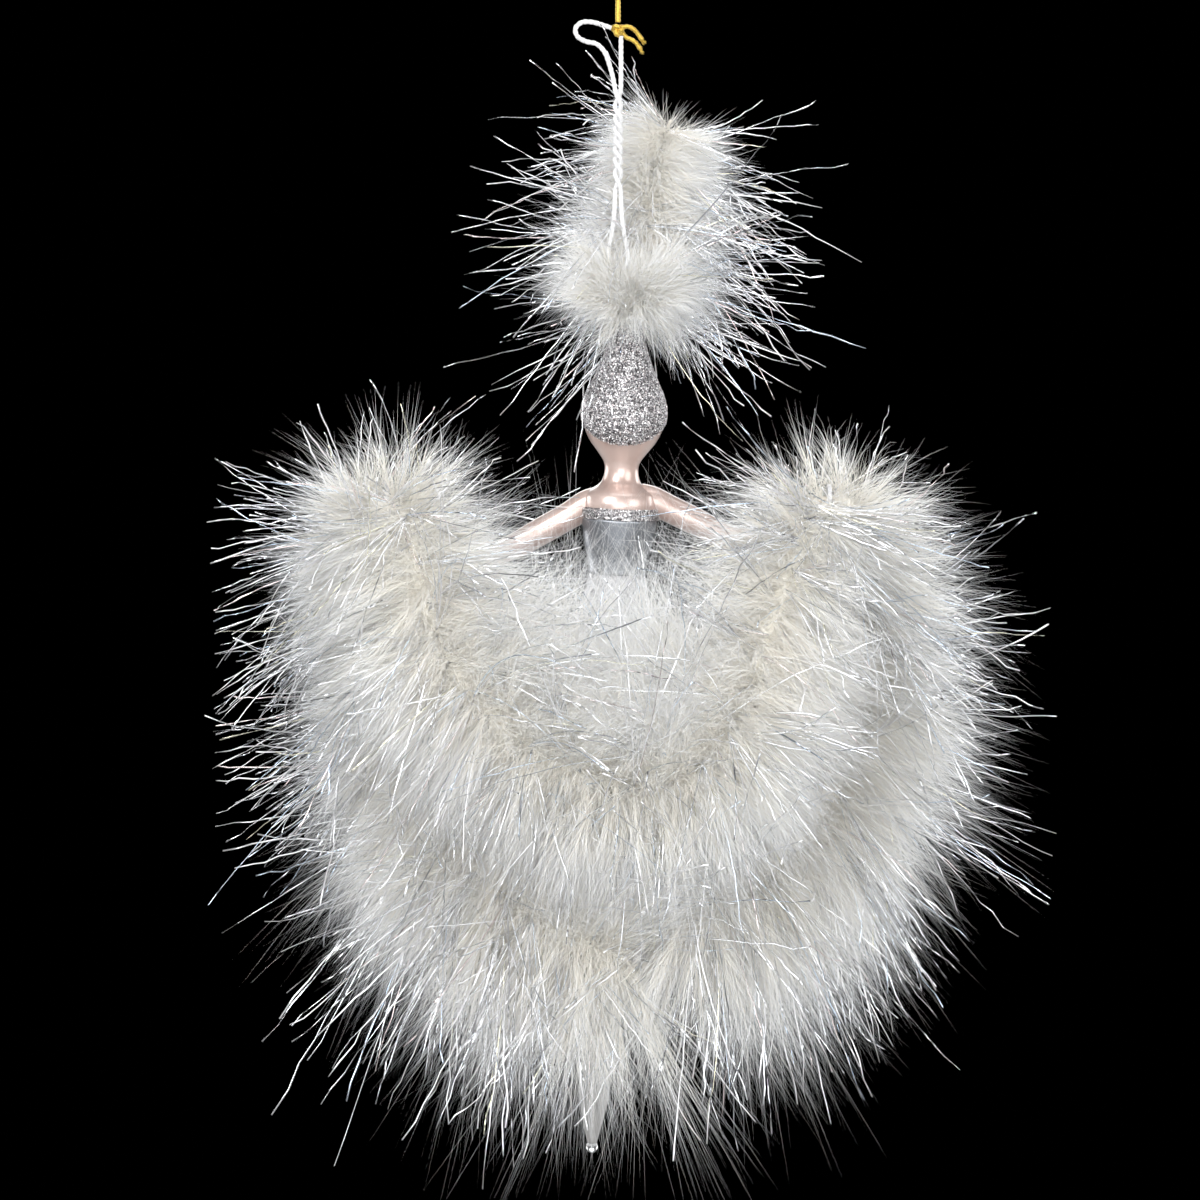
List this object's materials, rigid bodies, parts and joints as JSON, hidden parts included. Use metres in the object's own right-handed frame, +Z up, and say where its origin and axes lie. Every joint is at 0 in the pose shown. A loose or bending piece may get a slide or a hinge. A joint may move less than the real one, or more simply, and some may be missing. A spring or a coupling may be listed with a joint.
{
  "type": "feather boa ornament",
  "caption": "White down boa with silver lurex, draped behind a blown glass showgirl ornament with a plumed headdress, hung from a gold cord loop.",
  "frame": {"origin": "the point inside the hanging loop that bears on its hook", "axes": "+Z up along the hanging cords; the boa's swag and the figure's back face -Y; +X to the right as seen from -Y"},
  "size_m": [0.1418, 0.0531, 0.2728],
  "materials": {
    "down": "matte",
    "core_cotton": "matte",
    "lurex": "polished",
    "tie_thread": "satin",
    "gold_cord": "satin",
    "thread": "matte",
    "wire": "satin",
    "cap_metal": "satin",
    "skin_glass": "gloss",
    "silver_glitter": "satin",
    "bodice_lacquer": "satin",
    "gown_lacquer": "satin",
    "frosted_glass": "matte",
    "clear_glass": "gloss"
  },
  "bodies": {
    "loop": {"hanging_loop": "gold_cord"},
    "upper_knot": {"top_knot": "gold_cord"},
    "cord": {"gold_cord": "gold_cord"},
    "thread": {"gold_knot": "gold_cord", "gold_tails": "gold_cord", "hanging_thread": "thread"},
    "figure": {"cap_loop": "wire", "cap": "cap_metal", "figure_glass": "skin_glass", "turban": "silver_glitter", "neckline_trim": "silver_glitter", "bodice": "bodice_lacquer", "gown": "gown_lacquer", "gown_tip": "frosted_glass", "tip_bead": "clear_glass", "arm_left": "skin_glass", "arm_right": "skin_glass", "wrist_tie_left": "tie_thread", "wrist_tie_right": "tie_thread", "plume_tie": "tie_thread"},
    "boa_back": {"core_back": "core_cotton", "lurex_back": "lurex", "down_back_1": "down", "down_back_2": "down", "down_back_3": "down", "down_back_4": "down", "down_back_5": "down", "down_back_6": "down"},
    "boa_left": {"core_left": "core_cotton", "lurex_left": "lurex", "end_tie_left": "tie_thread", "down_left_1": "down", "down_left_2": "down", "down_left_3": "down", "down_left_4": "down", "down_left_5": "down"},
    "boa_right": {"core_right": "core_cotton", "lurex_right": "lurex", "end_tie_right": "tie_thread", "down_right_1": "down", "down_right_2": "down", "down_right_3": "down", "down_right_4": "down", "down_right_5": "down"},
    "plume": {"plume_quill": "core_cotton", "plume_lurex": "lurex", "plume_lower": "down", "plume_upper": "down"}
  },
  "joints": [
    {"name": "swing_fore_aft", "type": "hinge", "parent": "loop", "child": "upper_knot", "pos_m": [0, 0, -0.012], "axis": [1, 0, 0], "range_deg": [-25, 25]},
    {"name": "swing_side", "type": "hinge", "parent": "upper_knot", "child": "cord", "pos_m": [0, 0, -0.012], "axis": [0, 1, 0], "range_deg": [-25, 25]},
    {"name": "twist", "type": "hinge", "parent": "cord", "child": "thread", "pos_m": [0, 0, -0.046], "axis": [0, 0, 1], "continuous": true},
    {"name": "figure_nod", "type": "hinge", "parent": "thread", "child": "figure", "pos_m": [0, 0, -0.094], "axis": [1, 0, 0], "range_deg": [-8, 8]},
    {"name": "boa_swing", "type": "hinge", "parent": "figure", "child": "boa_back", "pos_m": [0, -0.006, -0.14], "axis": [-1, 0, 0], "range_deg": [0, 30]},
    {"name": "left_tail_swing", "type": "hinge", "parent": "figure", "child": "boa_left", "pos_m": [-0.046, -0.006, -0.14], "axis": [-1, 0, 0], "range_deg": [0, 15]},
    {"name": "right_tail_swing", "type": "hinge", "parent": "figure", "child": "boa_right", "pos_m": [0.042, -0.006, -0.14], "axis": [-1, 0, 0], "range_deg": [0, 15]},
    {"name": "plume_sway", "type": "hinge", "parent": "figure", "child": "plume", "pos_m": [0.0046, 0.005, -0.1015], "axis": [-1, 0, 0], "range_deg": [0, 15], "stiffness_Nm_per_rad": 0.0015, "springref_deg": -20.05}
  ],
  "couplings": [
    {"joint": "left_tail_swing", "follows": "boa_swing", "ratio": 0.5},
    {"joint": "right_tail_swing", "follows": "boa_swing", "ratio": 0.5}
  ]
}
